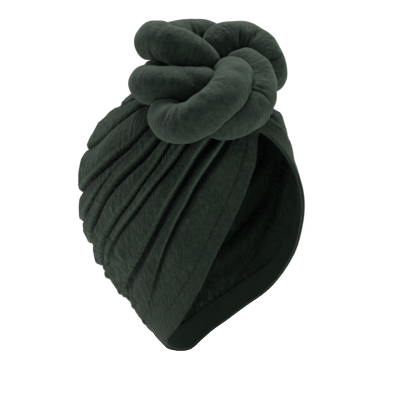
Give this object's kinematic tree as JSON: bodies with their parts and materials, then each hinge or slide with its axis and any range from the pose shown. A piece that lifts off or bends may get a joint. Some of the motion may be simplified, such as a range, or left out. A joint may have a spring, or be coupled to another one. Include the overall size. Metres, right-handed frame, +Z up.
{
  "type": "turban cap",
  "caption": "Pleated stretch-jersey turban cap with a turned hem along the face edge and a padded rosette knot on the top front; covers the head from forehead to nape.",
  "frame": {"origin": "the seat inside the crown, where the top of the wearer's head bears", "axes": "+Z up as worn upright, -Y towards the face, +X towards the wearer's left"},
  "size_m": [0.1742, 0.2322, 0.27],
  "materials": {
    "textured_jersey": "matt dark green stretch jersey with a fine crinkled scale texture",
    "hem_jersey": "the same jersey turned to the inside and stitched",
    "brushed_jersey": "smooth brushed dark green jersey with a soft sheen"
  },
  "bodies": {
    "root": {"cap_body": "textured_jersey", "rim_hem": "hem_jersey", "knot_front_strand": "brushed_jersey", "knot_top_strand": "brushed_jersey", "knot_left_strand": "brushed_jersey", "knot_lower_strand": "brushed_jersey", "knot_right_strand": "brushed_jersey"}
  },
  "joints": []
}
